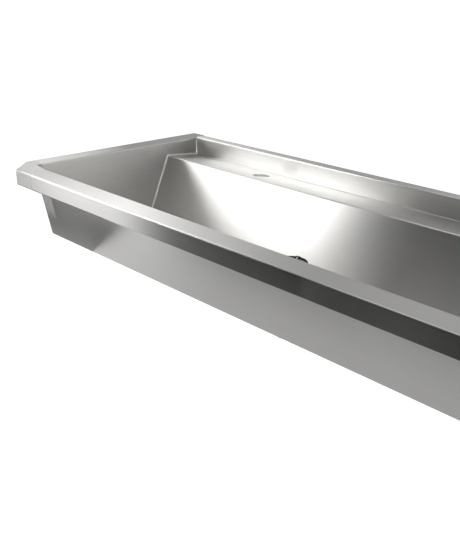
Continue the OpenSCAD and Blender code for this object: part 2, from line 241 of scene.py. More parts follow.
# Sheet metal, in millimetres from the middle of the trough, the rim face and the rim top
s = Sizes(
    length=1200, depth=482, frontRim=43, sideRim=41, backRim=24, rimFace=31, lip=10, backFlange=66, cut=47,
    cornerLength=80, seam=60, body=148, lean=29, rearRun=49, ledge=85, upstand=39, ledgeRise=8, thick=1.5,
    bend=1.5, bendSteps=9, edge=0.25, top=130, tapHole=35, tapPitch=600, wasteY=192, dish=4, dishOuter=60,
    dishInner=46, dishHole=25, dishSteps=8)
perMetre = 1000
halfLength = s.length / 2
floorZ = s.thick - s.body
upstandY = s.depth - s.backRim
ledgeY = upstandY - s.ledge
ledgeZ = s.ledgeRise - s.upstand
footY = ledgeY - s.rearRun
ledgeTilt = math.atan2(s.ledgeRise, s.ledge)
ledgeMid = ((ledgeY + upstandY) / 2, (ledgeZ - s.upstand) / 2)
frontFoot = (s.frontRim + s.lean * (s.body - s.thick) / s.body, floorZ)
rimPath = [(s.lip, -s.rimFace), (0, -s.rimFace), (0, 0)]
bowlPath = [frontFoot, (footY, floorZ), (ledgeY, ledgeZ), (upstandY, -s.upstand), (upstandY, 0),
            (s.depth, 0), (s.depth, -s.backFlange)]


def home(x, y, z):
    return Vector((x, y - s.depth, z + s.top)) / perMetre


def homeLeft(x, y, z):
    return home(x - halfLength, y, z)


def homeTurned(place, turn, *point):
    return home(*(Vector(place) + turn @ Vector(point)))


def anglesOf(steps):
    return [2 * math.pi * k / steps for k in range(steps)]


def foldedSides(path, inner, thick, steps):
    # The visible side (on the left of the path) and the hidden side of a folded sheet
    points = [Vector(p) for p in path]
    visible, hidden = [], []

    def put(point, normal):
        visible.append(point)
        hidden.append(point - normal * thick)

    first = (points[1] - points[0]).normalized()
    put(points[0], Vector((-first.y, first.x)))
    for before, corner, after in zip(points, points[1:], points[2:]):
        d, e = (corner - before).normalized(), (after - corner).normalized()
        turn = math.atan2(d.x * e.y - d.y * e.x, d.dot(e))
        sign = 1 if turn > 0 else -1
        radius = inner if sign > 0 else inner + thick
        normal = Vector((-d.y, d.x))
        centre = corner - d * radius * math.tan(abs(turn) / 2) + normal * sign * radius
        for k in range(steps + 1):
            spun = Matrix.Rotation(turn * k / steps, 2) @ normal
            put(centre - spun * sign * radius, spun)
    last = (points[-1] - points[-2]).normalized()
    put(points[-1], Vector((-last.y, last.x)))
    return visible, hidden


def foldedLoop(path):
    visible, hidden = foldedSides(path, s.bend, s.thick, s.bendSteps)
    return visible + hidden[::-1]


def addObject(name, bm):
    bmesh.ops.recalc_face_normals(bm, faces=bm.faces)
    mesh = bpy.data.meshes.new(name)
    bm.to_mesh(mesh)
    bm.free()
    return linkObject(name, mesh)


def loftInto(bm, stations, ends="closed", skip=None):
    # Joins each outline to the next one; the ends are closed by a face, open, or joined to each other
    rings = [[bm.verts.new(p) for p in station] for station in stations]
    for one, two in zip(rings, rings[1:] + rings[:1] if ends == "joined" else rings[1:]):
        for k in range(len(one)):
            if k != skip:
                j = (k + 1) % len(one)
                bm.faces.new((one[k], one[j], two[j], two[k]))
    if ends == "closed":
        bm.faces.new(rings[0][::-1])
        bm.faces.new(rings[-1])
    return rings


def lofted(name, stations):
    bm = bmesh.new()
    loftInto(bm, stations)
    return addObject(name, bm)


def prismX(name, loop, x0, x1):
    return lofted(name, [[home(x, *p) for p in loop] for x in (x0, x1)])


def blockOf(name, low, high):
    loop = [(low[1], low[2]), (high[1], low[2]), (high[1], high[2]), (low[1], high[2])]
    return prismX(name, loop, low[0], high[0])


def carve(piece, tool, operation="DIFFERENCE"):
    mod = piece.modifiers.new("carve", "BOOLEAN")
    mod.operation, mod.object, mod.solver = operation, tool, "EXACT"
    bpy.context.view_layer.update()
    result = bpy.data.meshes.new_from_object(piece.evaluated_get(bpy.context.evaluated_depsgraph_get()))
    piece.modifiers.clear()
    piece.data = result
    bpy.data.objects.remove(tool)


def mirrored(piece, name):
    bm = bmesh.new()
    bm.from_mesh(piece.data)
    bmesh.ops.scale(bm, vec=(-1, 1, 1), verts=bm.verts)
    bmesh.ops.reverse_faces(bm, faces=bm.faces)
    return addObject(name, bm)


sheetSharp, roundSharp, bevelMore = 32, 50, 3        # degrees: where an edge is sharp, and how much more for a bevel


def dress(piece, material, edge, angle):
    piece.data.materials.clear()
    piece.data.materials.append(material)
    if edge:
        bevel = piece.modifiers.new("edges", "BEVEL")
        bevel.width, bevel.segments = edge / perMetre, 2
        bevel.limit_method, bevel.angle_limit = "ANGLE", math.radians(angle)
    piece.modifiers.new("flatFaces", "WEIGHTED_NORMAL").keep_sharp = True


def finishPiece(piece, material, edge, body="trough", nodes=(), sharp=sheetSharp):
    dress(piece, material, edge, sharp + bevelMore)
    for face in piece.data.polygons:
        face.material_index = 0
        face.use_smooth = True
    piece.data.set_sharp_from_angle(angle=math.radians(sharp))
    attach(piece, body)
    if nodes:
        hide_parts(*nodes)


# Pan: one sheet from the lip under the front rim to the back flange
def makeDish(bm, steps):
    # Pressed dish round the waste, as rings from the flat bottom to the hole, upper side then lower side
    drop, thick = s.dish, s.thick
    shares = [k / s.dishSteps for k in range(s.dishSteps + 1)]
    width = s.dishOuter - s.dishInner
    upper = [(s.dishOuter - width * u, -drop * (1 - math.cos(math.pi * u)) / 2) for u in shares]
    upper.append((s.dishHole, -drop))
    lower = [(r, z - thick) for r, z in upper][::-1]
    loftInto(bm, [[home(r * math.cos(a), s.wasteY + r * math.sin(a), floorZ + z) for a in anglesOf(steps)]
                  for r, z in upper + lower], "open")


def cylinderTool(name, centre, radius, low, high, steps, tilt=0.0):
    turn = Matrix.Rotation(-tilt, 3, "X")
    return lofted(name, [[homeTurned(centre, turn, radius * math.cos(a), radius * math.sin(a), z)
                          for a in anglesOf(steps)] for z in (low, high)])


panCuts = Sizes(
    past=5, rimLow=-40, gap=0.2, topReach=60, tapReach=(-10, 5), tapSteps=72, wasteReach=(-8, 8), wasteSteps=96,
    onCircle=1e-5, upright=0.5, merge=2e-6)


def makePan(cuts):
    inner, past = halfLength - s.sideRim, cuts.past
    pan = prismX("panSheet", foldedLoop(rimPath + [(s.frontRim, 0)] + bowlPath), -inner, inner)
    wallStart = s.frontRim + s.lean * s.thick / s.body
    for side in (-1, 1):
        near, far = sorted((side * (halfLength - s.cornerLength), side * halfLength))
        carve(pan, blockOf("cutRim", (near, -past, cuts.rimLow), (far, wallStart - s.thick - cuts.gap, past)))
        carve(pan, blockOf("cutTop", (near, -past, -s.thick), (far, cuts.topReach, past)))
        carve(pan, cylinderTool("cutTap", (side * s.tapPitch / 2, *ledgeMid), s.tapHole / 2,
                                *cuts.tapReach, cuts.tapSteps, ledgeTilt))
    steps, axis = cuts.wasteSteps, home(0, s.wasteY, 0)
    carve(pan, cylinderTool("cutWaste", (0, s.wasteY, floorZ), s.dishOuter, *cuts.wasteReach, steps))

    def onRim(face):
        away = [math.hypot(v.co.x - axis.x, v.co.y - axis.y) - s.dishOuter / perMetre for v in face.verts]
        return max(abs(a) for a in away) < cuts.onCircle and abs(face.normal.z) < cuts.upright
    bm = bmesh.new()
    bm.from_mesh(pan.data)
    bmesh.ops.delete(bm, geom=[face for face in bm.faces if onRim(face)], context="FACES_ONLY")
    makeDish(bm, steps)
    bmesh.ops.remove_doubles(bm, verts=bm.verts, dist=cuts.merge)
    bmesh.ops.recalc_face_normals(bm, faces=bm.faces)
    bm.to_mesh(pan.data)
    bm.free()
    finishPiece(pan, sheetAlongX, s.edge, nodes=("pan",))


makePan(panCuts)
print("pan built")


# End panels: each with its own side rim, and the corner pieces that close the front rim
endSizes = Sizes(turnDown=10, heel=3, drop=4, past=0.1, overlap=0.02, backOverlap=0.5)


def makeEnd(e):
    thick, rim, past, over, low = s.thick, s.sideRim, e.past, e.overlap, e.past - e.turnDown
    loop = foldedLoop(rimPath + [(rim, 0), (rim, -e.turnDown)])
    end = lofted("endPanelLeft", [[homeLeft(x, y, z) for x, z in loop] for y in (s.seam, s.depth)])
    wallTop = (s.frontRim + s.lean * thick / s.body - thick, -thick)
    outline = [wallTop, (s.frontRim + s.lean, -s.body), (footY + e.heel, -s.body),
               (s.depth, -s.backFlange - e.drop), (s.depth, low), (s.seam + past, low),
               (s.seam + past, -thick)]
    plate = prismX("endPlate", outline, rim - thick - halfLength, rim - halfLength)
    carve(end, plate, "UNION")
    back = blockOf("endBack", (thick - halfLength - over, s.depth - thick, thick - s.rimFace - over),
                   (rim - thick - halfLength + e.backOverlap, s.depth, -thick + over))
    carve(end, back, "UNION")
    return end


cornerSizes = Sizes(strip=12, tongue=5, tongueWide=3)


def makeCorner(c):
    # Lip, face and strip follow the cut corner in three mitred runs; a flat plate closes the top
    cut, slope = s.cut, math.tan(math.pi / 8)
    loop = foldedLoop(rimPath + [(c.strip, 0)])
    places = [lambda u, w: (s.cornerLength, u, w), lambda u, w: (cut + u * slope, u, w),
              lambda u, w: (u, cut + u * slope, w), lambda u, w: (u, s.seam, w)]
    bm = bmesh.new()
    half = len(loop) // 2
    rings = loftInto(bm, [[homeLeft(*place(u, w)) for u, w in loop] for place in places], skip=half - 1)
    tip, side = s.frontRim + c.tongue, s.sideRim
    extra = [(s.seam, side), (tip, side), (tip, side + c.tongueWide), (s.frontRim, s.cornerLength)]
    tops = [ring[half - 1] for ring in rings]
    lows = [ring[half] for ring in rings]
    topExtra = [bm.verts.new(homeLeft(x, y, 0)) for y, x in extra]
    lowExtra = [bm.verts.new(homeLeft(x, y, -s.thick)) for y, x in extra]
    bm.faces.new(tops + topExtra)
    bm.faces.new((lows + lowExtra)[::-1])
    topRun, lowRun = [tops[-1]] + topExtra + [tops[0]], [lows[-1]] + lowExtra + [lows[0]]
    for k in range(len(topRun) - 1):
        bm.faces.new((topRun[k], topRun[k + 1], lowRun[k + 1], lowRun[k]))
    return addObject("cornerLeft", bm)


def makeSides():
    end, corner = makeEnd(endSizes), makeCorner(cornerSizes)
    for piece, name, node in ((end, "endPanelRight", "end"), (corner, "cornerRight", "corner")):
        other = mirrored(piece, name)
        material = sheetAlongY if node == "end" else sheetAlongX
        finishPiece(piece, material, s.edge, nodes=(node + "_left",))
        finishPiece(other, material, s.edge, nodes=(node + "_right",))


makeSides()
print("ends and corners built")


# Ground weld seams in the inner corners between the pan and the end panels
seamSizes = Sizes(
    leg=2.6, bury=0.5, arc=5, soft=4.0, softSteps=8, start=2.0, inset=0.6, under=0.4,
    bead=[(-1.2, -3.6), (0.35, -3.6), (0.5, -2.4), (0.25, -0.7), (-1.2, -0.7)], beadPast=0.5)
# The seam is lighter than the sheet: a painted highlight along the ground weld
seamHighlightLooks = Sizes(
    brushedLooks, light=(0.80, 0.79, 0.77, 1), dark=(0.70, 0.69, 0.67, 1), rough=0.285, grainDepth=0.00004)


def makeSeams(look):
    path = [(s.frontRim + look.inset, -look.start)] + bowlPath[:4] + [(upstandY, -look.start)]
    line, low = foldedSides(path, look.soft, look.under, look.softSteps)
    leg, bury = look.leg, look.bury
    bm = bmesh.new()
    stations = []
    for point, under in zip(line, low):
        up = (point - under).normalized()
        ring = [(-bury, -bury), (leg, -bury)]
        for k in range(look.arc + 1):
            turn = math.pi / 2 * (1 - k / look.arc)
            ring.append((leg - leg * math.cos(turn), leg - leg * math.sin(turn)))
        ring.append((-bury, leg))
        stations.append([homeLeft(across + s.sideRim, *(point + up * rise)) for across, rise in ring])
    loftInto(bm, stations)
    # A bead fills the step under the inner edge of the corner plate
    ends = (s.frontRim - look.beadPast, s.seam + look.beadPast)
    loftInto(bm, [[homeLeft(x + s.sideRim, y, z) for x, z in look.bead] for y in ends])
    seam = addObject("weldSeamLeft", bm)
    other = mirrored(seam, "weldSeamRight")
    # Painted highlight: the seam's lighter colour stands in for its bright line
    material = makeBrushed("groundWeldPaintedHighlight", "alongX", seamHighlightLooks)
    for piece in (seam, other):
        finishPiece(piece, material, 0)


makeSeams(seamSizes)
print("weld seams built")


# Materials of the fittings
grainLooks = Sizes(
    turnedNoise=(1.0, 2.0, 0.6), grainNoise=(3.0, 0.65), patchShare=0.06, patchRange=(0.3, 0.7),
    scratchTurns=((0.3, 0.1, 0.65), (0.2, 1.0, -0.9)), scratchScale=(45, 1400, 1400), scratchNoise=(1.0, 1.0, 0.5),
    scratchRange=(0.68, 0.74))


def makeTurnedGrain(look):
    tree, given, made = newGroup("turnedGrain", {"Centre": (0, 0, 0), "Lines": 1500.0}, ["Height"])
    offset = addNode(tree, "VectorMath", {0: given["Vector"], 1: given["Centre"]}, operation="SUBTRACT").outputs[0]
    level = stretched(tree, offset, (1, 1, 0))
    flat = addNode(tree, "VectorMath", {0: level}, operation="LENGTH").outputs["Value"]
    up = addNode(tree, "SeparateXYZ", {0: offset}).outputs["Z"]
    rings = addNode(tree, "CombineXYZ", {k: mathNode(tree, "MULTIPLY", way, given["Lines"])
                                         for k, way in enumerate((flat, up))}).outputs[0]
    tree.links.new(noise(tree, rings, *look.turnedNoise), made["Height"])
    return tree


def makeSurfaceGrain(look):
    tree, given, made = newGroup("surfaceGrain", {"Scale": 400.0}, ["Grain", "Patch"])
    tree.links.new(noise(tree, given["Vector"], given["Scale"], *look.grainNoise), made["Grain"])
    broad = noise(tree, given["Vector"], mathNode(tree, "MULTIPLY", given["Scale"], look.patchShare))
    tree.links.new(remap(tree, broad, *look.patchRange), made["Patch"])
    return tree


def makeScratches(look):
    # Short thin marks in two directions
    tree, given, made = newGroup("fineScratches", {"Amount": 1.0}, ["Mask"])
    marks = []
    for turn in look.scratchTurns:
        spun = addNode(tree, "Mapping", {0: given["Vector"], "Rotation": turn, "Scale": look.scratchScale}).outputs[0]
        marks.append(remap(tree, noise(tree, spun, *look.scratchNoise), *look.scratchRange))
    tree.links.new(mathNode(tree, "MULTIPLY", mathNode(tree, "MAXIMUM", *marks), given["Amount"]), made["Mask"])
    return tree


turnedGrain, surfaceGrain = makeTurnedGrain(grainLooks), makeSurfaceGrain(grainLooks)
fineScratches = makeScratches(grainLooks)

steelBase = Sizes(slot="bright_steel", metallic=1.0, scale=900.0)
softBase = Sizes(metallic=0.0, depth=0.000012, roughSwing=0.1)
fittingLooks = {
    "turnedSteel": Sizes(steelBase, rough=0.285, light=(0.70, 0.69, 0.675, 1), dark=(0.62, 0.61, 0.6, 1),
                         scale=500.0, depth=0.000004, roughSwing=0.08, lines=1600.0, anisotropy=0.5),
    "boltSteel": Sizes(steelBase, rough=0.29, light=(0.66, 0.655, 0.64, 1), dark=(0.53, 0.525, 0.51, 1),
                       depth=0.000008, roughSwing=0.12),
    "millSteel": Sizes(steelBase, slot="plain_steel", rough=0.38, light=(0.60, 0.6, 0.59, 1),
                       dark=(0.5, 0.498, 0.49, 1), scale=350.0, depth=0.000012, roughSwing=0.12),
    # Lighter than real steel: a painted highlight, so the lifting lugs show their bright glint
    "paintedHighlightSteel": Sizes(steelBase, rough=0.3, light=(0.95, 0.945, 0.93, 1), dark=(0.85, 0.845, 0.83, 1),
                           depth=0.000004, roughSwing=0.06),
    "brass": Sizes(steelBase, slot="brass", rough=0.29, light=(0.79, 0.61, 0.29, 1), dark=(0.58, 0.42, 0.18, 1),
                   scale=700.0, depth=0.000008, roughSwing=0.15),
    "blackRubber": Sizes(softBase, slot="black_rubber", rough=0.7, light=(0.045, 0.045, 0.046, 1),
                         dark=(0.02, 0.02, 0.021, 1), scale=1500.0, depth=0.00003, roughSwing=0.12,
                         scratchColour=(0.11, 0.11, 0.11, 1)),
    "blackPlastic": Sizes(softBase, slot="black_plastic", rough=0.6, light=(0.02, 0.02, 0.021, 1),
                          dark=(0.012, 0.012, 0.013, 1), scale=1900.0, shine=0.3,
                          scratchColour=(0.06, 0.06, 0.06, 1)),
    "whitePlastic": Sizes(softBase, slot="white_plastic", rough=0.42, light=(0.82, 0.815, 0.79, 1),
                          dark=(0.76, 0.75, 0.72, 1), scale=1200.0, depth=0.00001,
                          scratchColour=(0.62, 0.61, 0.58, 1)),
    "dampingSheet": Sizes(softBase, slot="damping_sheet", rough=0.8, light=(0.10, 0.10, 0.098, 1),
                          dark=(0.05, 0.05, 0.05, 1), scale=900.0, depth=0.00008,
                          scratchColour=(0.16, 0.16, 0.155, 1)),
}
fittingShare = Sizes(scratches=0.6, scratchRough=0.1, valleys=(0.35, 0.65, 0.0, 0.3))


def makeFitting(name, look, share):
    mat, tree, shader, where = newMaterial(
        name, look.metallic, look.rough,
        {"Anisotropic": look.get("anisotropy", 0.0), "Specular IOR Level": look.get("shine", 0.5)})
    grain = placeGroup(tree, surfaceGrain, where, Scale=look.scale)
    scratch = placeGroup(tree, fineScratches, where, Amount=share.scratches)["Mask"]
    height = grain["Grain"]
    if "lines" in look:
        height = placeGroup(tree, turnedGrain, where, Centre=home(0, s.wasteY, 0), Lines=look.lines)["Height"]
        tangent = addNode(tree, "Tangent", direction_type="RADIAL", axis="Z")
        tree.links.new(tangent.outputs[0], shader.inputs["Tangent"])
    colour = mixColour(tree, grain["Patch"], look.dark, look.light)
    colour = mixColour(tree, remap(tree, height, *share.valleys), colour, look.dark)
    colour = mixColour(tree, scratch, colour, look.get("scratchColour", look.light))
    tree.links.new(colour, shader.inputs["Base Color"])
    rough = mathNode(tree, "MULTIPLY_ADD", grain["Patch"], look.roughSwing, look.rough)
    rough = mathNode(tree, "MULTIPLY_ADD", scratch, share.scratchRough, rough)
    tree.links.new(rough, shader.inputs["Roughness"])
    bump = addNode(tree, "Bump", {"Strength": 1.0, "Distance": look.depth, "Height": height})
    tree.links.new(bump.outputs[0], shader.inputs["Normal"])
    return mat


fitting = {name: makeFitting(name, look, fittingShare) for name, look in fittingLooks.items()}
print("fitting materials built")


def finishFitting(piece, look, node, edge=0, sharp=roundSharp, body="trough"):
    finishPiece(piece, fitting[look], edge, body, (node,), sharp)


def finishPair(piece, otherName, look, node, edge, sharp):
    other = mirrored(piece, otherName)
    finishFitting(piece, look, node + "_left", edge, sharp)
    finishFitting(other, look, node + "_right", edge, sharp)


# Shapes of the fittings
shapeSizes = Sizes(
    mostSoft=0.45, merge=1e-6, hexFlat=0.48, hexSlope=0.5, boreEdge=0.5, nutPlay=0.05, underHead=0.6,
    threadStart=1, tip=0.8, threadDepth=0.45, perTurn=5)


def softLoop(points, softs, steps=4):
    # A closed outline through the points, each corner rounded by its own radius
    loop, spots = [], [Vector(p) for p in points]
    for k, (spot, radius) in enumerate(zip(spots, softs)):
        back, ahead = spots[k - 1] - spot, spots[(k + 1) % len(spots)] - spot
        if not radius:
            loop.append(spot)
            continue
        most = shapeSizes.mostSoft * min(back.length, ahead.length)
        reach = min(radius / math.tan(back.angle(ahead) / 2), most)
        start, end = spot + back.normalized() * reach, spot + ahead.normalized() * reach
        for t in (j / steps for j in range(steps + 1)):
            loop.append(start * (1 - t) ** 2 + spot * 2 * t * (1 - t) + end * t * t)
    return loop


def roundedBox(inner, outer, low, high, softs, steps=3):
    return softLoop([(inner, low), (outer, low), (outer, high), (inner, high)], softs, steps)


def turned(name, loopAt, steps, places, tilt=0.0):
    # Turns an outline (radius, height) round an axis at each place; a function gives the outline at an angle
    bm = bmesh.new()
    turn = Matrix.Rotation(tilt, 3, "X")
    for place in places:
        stations = []
        for angle in anglesOf(steps):
            loop = loopAt(angle) if callable(loopAt) else loopAt
            stations.append([homeTurned(place, turn, r * math.cos(angle), r * math.sin(angle), z) for r, z in loop])
        loftInto(bm, stations, "joined")
    bmesh.ops.remove_doubles(bm, verts=bm.verts, dist=shapeSizes.merge)
    return addObject(name, bm)


def hexEdge(flats, angle):
    # Radius of a hexagon at an angle, the radius where its flat end starts, and the height of the chamfer
    radius = flats / 2 / math.cos(angle % (math.pi / 3) - math.pi / 6)
    start = flats * shapeSizes.hexFlat
    return radius, start, (radius - start) * shapeSizes.hexSlope


def nutLoop(flats, height, shank):
    edge, bore = shapeSizes.boreEdge, shank + shapeSizes.nutPlay

    def loopAt(angle):
        r, start, drop = hexEdge(flats, angle)
        return [(bore + edge, 0), (start, 0), (r, drop), (r, height - drop), (start, height), (bore + edge, height),
                (bore, height - edge), (bore, edge)]
    return loopAt


def threadRows(low, high, outer, depth, pitch, angle, perTurn):
    count = int((high - low) / pitch * perTurn)
    rows = []
    for k in range(count + 1):
        z = low + (high - low) * k / count
        share = (z / pitch - angle / (2 * math.pi)) % 1
        fade = min(1, k / perTurn, (count - k) / perTurn)
        rows.append((outer - depth * fade * abs(2 * share - 1), z))
    return rows


def boltLoop(m, length):
    h, head, shank, pitch = shapeSizes, m.head, m.bolt, m.pitch

    def loopAt(angle):
        r, start, drop = hexEdge(m.flats, angle)
        rows = threadRows(head + h.threadStart, length - h.tip, shank, pitch * h.threadDepth, pitch, angle, h.perTurn)
        return [(0, 0), (start, 0), (r, drop), (r, head), (shank, head), (shank, head + h.underHead), *rows,
                (shank - h.tip, length), (0, length)]
    return loopAt


waste = Sizes(
    dish=floorZ - s.dish, bore=20.5, tail=23.9, tailLength=66, free=20, flange=41, flangeThick=2,
    flangeEdge=((-0.3, 0), (0, 0.3), (0, 0.9), (-0.6, 1.6), (-1.8, 2)), mouth=0.4, foot=(0.6, 1), neck=(0.8, 1.5),
    fillet=0.8, pitch=2.309, depth=0.9, threadStart=1.5, threadStop=1, perTurn=6, steps=96, crossLow=-42,
    crossHigh=-39, crossWidth=3, crossSofts=(0.8, 0.8, 1.2, 1.2), crossPast=1, seal=1.5, lowSeal=3, sealRadius=38,
    sealInset=2, sealPlay=1.1, washer=1.5, play=0.08, ringSteps=72, nut=9, nutFlats=64, nutEdge=0.4, bodySharp=40)


def makeWaste(w):
    centre = (0, s.wasteY, w.dish + w.seal)
    bore, tail, length, thick, free = w.bore, w.tail, w.tailLength, w.flangeThick, w.free

    def bodyLoop(angle):
        (wide, high), (deep, long), soft, mouth = w.foot, w.neck, w.fillet, w.mouth
        rows = threadRows(w.threadStart - length, -free - w.threadStop, tail, w.depth, w.pitch, angle, w.perTurn)
        return [(bore, thick - mouth), (bore, high - length), (bore + wide, -length), (tail - high, -length), *rows,
                (tail, -free), (tail - deep, -free), (tail - deep, long - free), (tail, long - free), (tail, -soft),
                (tail + soft, 0), *((w.flange + x, z) for x, z in w.flangeEdge), (bore + mouth, thick)]
    body = turned("wasteBody", bodyLoop, w.steps, [centre])
    half, reach = w.crossWidth / 2, bore + w.crossPast
    section = roundedBox(-half, half, w.crossLow, w.crossHigh, w.crossSofts, steps=4)
    for k in range(2):
        turn = Matrix.Rotation(math.pi / 2 * k, 3, "Z")
        carve(body, lofted("cross", [[homeTurned(centre, turn, x, y, z) for x, z in section]
                                     for y in (-reach, reach)]), "UNION")
    finishFitting(body, "turnedSteel", "waste_body", 0, w.bodySharp)

    under = w.dish - s.thick
    sealLow = under - w.lowSeal
    low = sealLow - w.washer
    rings = {
        "wasteSealTop": ("waste_seal_top", "blackRubber", tail + w.sealPlay, w.flange - w.sealInset,
                         w.dish, w.dish + w.seal, 0.5),
        "wasteSealBottom": ("waste_seal_bottom", "blackRubber", tail + w.play, w.sealRadius, sealLow, under, 0.8),
        "slipWasher": ("waste_washer", "whitePlastic", tail + w.play, w.sealRadius, low, sealLow, 0.4),
    }
    for name, (node, look, *sizes, soft) in rings.items():
        ring = turned(name, roundedBox(*sizes, (soft,) * 4), w.ringSteps, [(0, s.wasteY, 0)])
        finishFitting(ring, look, node)
    nut = turned("wasteBacknut", nutLoop(w.nutFlats, w.nut, tail), w.steps, [(0, s.wasteY, low - w.nut)])
    finishFitting(nut, "turnedSteel", "waste_backnut", w.nutEdge, sheetSharp)


pipe = Sizes(
    spigot=18, wall=2, collar=26, collarThick=4, pipe=19, cone=20, head=29, headHeight=8, inset=0.5, shift=1,
    top=62, pipeSofts=(0.4, 0.4, 0.2, 0.8, 1.4, 1.5, 10, 7, 0, 0, 7, 10, 2, 2), pipeSharp=40, steps=96,
    softSteps=6, ring=3, ringWidth=3.2, ringSofts=(0.3, 0.3, 0.7, 0.4, 0.2, 1.0), ringSteps=192, ringEdge=0.2,
    hoodThick=1.6, hood=1.2, hoodHalf=4, hoodRun=2, hoodStep=0.02, hoodLean=0.05, slot=2.2, slotPlay=0.5,
    slotPast=1, grip=1.5, gripFlat=0.3, gripTurn=16, gripIn=21, gripPlay=0.1, gripBows=6, gripSides=24,
    gripLift=0.02, bung=23, bungPlay=0.08, bungStart=(-1.6, 0.8), bungEnd=(-1.2, 0.4), bungStop=1,
    lips=(5, 11, 17), lip=((-1.2, -2.6, 0.6), (0, -1, 0.7), (0, 0, 0.7), (-1.2, 1.2, 0.6)), bungSteps=72)


def makeOverflow(p, w):
    seat = w.dish + w.seal + w.flangeThick
    centre, top = (0, s.wasteY, 0), floorZ + p.top
    spigot, wall, collar, tube, head = p.spigot, p.wall, p.collar, p.pipe, p.head
    low, seatLow, ledge, ringLow = top - p.headHeight, seat - p.bung, seat + p.collarThick, top - p.ring
    rim, cone, shift = head - p.inset, low - p.cone, p.shift
    body = turned("overflowPipe", softLoop([
        (spigot - wall, seatLow), (spigot, seatLow), (spigot, seat), (collar, seat), (collar, ledge), (tube, ledge),
        (tube, cone), (rim, low), (rim, ringLow), (rim - wall, ringLow), (rim - wall, low + shift),
        (tube - wall, cone + shift), (tube - wall, ledge), (spigot - wall, seat + shift)],
        p.pipeSofts, p.softSteps), p.steps, [centre])
    finishFitting(body, "turnedSteel", "standpipe", 0, p.pipeSharp, "overflow")

    # Ring with a blind slot for each lug, and a low hood that stands behind it
    inner, hoodIn = head - p.ringWidth, head - p.hoodThick

    def ringLoop(angle):
        away = abs((angle - math.radians(p.gripTurn)) % math.pi - math.pi / 2) * head
        share = min(1, max(0, (p.hoodHalf + p.hoodRun / 2 - away) / p.hoodRun))
        high = top + p.hood * share + p.hoodStep
        return softLoop([(inner, ringLow), (head, ringLow), (head, high), (hoodIn, high), (hoodIn - p.hoodLean, top),
                         (inner, top)], p.ringSofts)
    ring = turned("overflowRing", ringLoop, p.ringSteps, [centre])
    turn = Matrix.Rotation(math.radians(p.gripTurn), 3, "Z")
    base = (0, s.wasteY, top - p.slot)
    narrow, high = p.grip + p.slotPlay, p.slot + p.slotPast
    wide = narrow + p.slotPast
    wedge = [(-narrow, 0), (narrow, 0), (wide, high), (-wide, high)]
    carve(ring, lofted("cutSlot", [[homeTurned(base, turn, x, y, z) for x, z in wedge] for y in (-hoodIn, hoodIn)]))
    finishFitting(ring, "blackPlastic", "standpipe_ring", p.ringEdge, sheetSharp, "overflow")

    # Two lifting lugs in the ring: round, with a small flat underneath and rounded ends
    start, end, radius, rise = p.gripIn, hoodIn - p.gripPlay, p.grip, p.grip - p.gripFlat
    bows = [math.pi / 2 * k / p.gripBows for k in range(1, p.gripBows + 1)]
    run = [(start + radius * (1 - math.cos(b)), math.sin(b)) for b in bows]
    run += [(end - radius * (1 - math.cos(b)), math.sin(b)) for b in bows[::-1]]
    bm = bmesh.new()
    for side in (-1, 1):
        loftInto(bm, [[homeTurned(base, turn, radius * size * math.cos(a), side * along,
                                  max(p.gripLift, rise + radius * size * math.sin(a)))
                       for a in anglesOf(p.gripSides)] for along, size in run])
    # The lugs' bright glint is a painted highlight in their colour
    finishFitting(addObject("overflowGrip", bm), "paintedHighlightSteel", "standpipe_grip", body="overflow")

    # Bung with three lips
    outer, stop = w.bore - p.bungPlay, seat - p.bungStop
    corners = [(spigot, seatLow, 0), (outer + p.bungStart[0], seatLow, p.bungStart[1])]
    corners += [(outer + x, seatLow + z + up, soft) for z in p.lips for x, up, soft in p.lip]
    corners += [(outer + p.bungEnd[0], stop, p.bungEnd[1]), (spigot, stop, 0)]
    bungLoop = softLoop([corner[:2] for corner in corners], [corner[2] for corner in corners], steps=3)
    bung = turned("overflowBung", bungLoop, p.bungSteps, [centre])
    finishFitting(bung, "blackRubber", "standpipe_bung", body="overflow")


makeWaste(waste)
makeOverflow(pipe, waste)
print("waste and overflow built")


mounting = Sizes(
    x=400, boltY=(140, 270), hatHeight=12, hatThick=2, hatWidth=40, hatBrim=15, hatY=95, hatLength=210, hatSteps=6,
    hatEdge=0.25, strip=3, bracket=4, bracketY=112, bracketWidth=48, bracketIn=2, bracketEdge=0.5, armEnd=5,
    web=(190, 18), wallSlope=(22, 84), plateSofts=(1.5, 4, 60, 0.3, 0.3, 8, 10), flangeSoft=8, wallSoft=0.3,
    weld=1, overlap=0.02, wallGap=0.5, softSteps=6, fixZ=-130, fixPitch=100, fixHole=9, edge=11, drop=50, bolt=4,
    play=0.5, cutPast=2, hatPast=3, steps=36, flats=13, head=5.3, nut=6.5, pitch=1.25, boltPast=1.5, sharp=25,
    washer=1.6, washerRadius=8, washerSteps=48, washerSofts=(0.3, 0.5, 0.3, 0.3))


def makeStiffener(m):
    half, low, hatLow = m.hatWidth / 2, -s.body - m.hatThick, -s.body - m.hatHeight
    brim = half + m.hatBrim
    path = [(brim, low), (half, low), (half, hatLow), (-half, hatLow), (-half, low), (-brim, low)]
    visible, hidden = foldedSides(path, s.bend, m.hatThick, m.hatSteps)
    piece = lofted("stiffenerLeft", [[home(x - m.x, y, z) for x, z in visible + hidden[::-1]]
                                     for y in (m.hatY, m.hatY + m.hatLength)])
    for y in m.boltY:
        carve(piece, cylinderTool("cutBolt", (-m.x, y, hatLow), m.bolt + m.play, -m.cutPast, m.hatPast, m.steps))
    finishPair(piece, "stiffenerRight", "millSteel", "stiffener", m.hatEdge, sheetSharp)


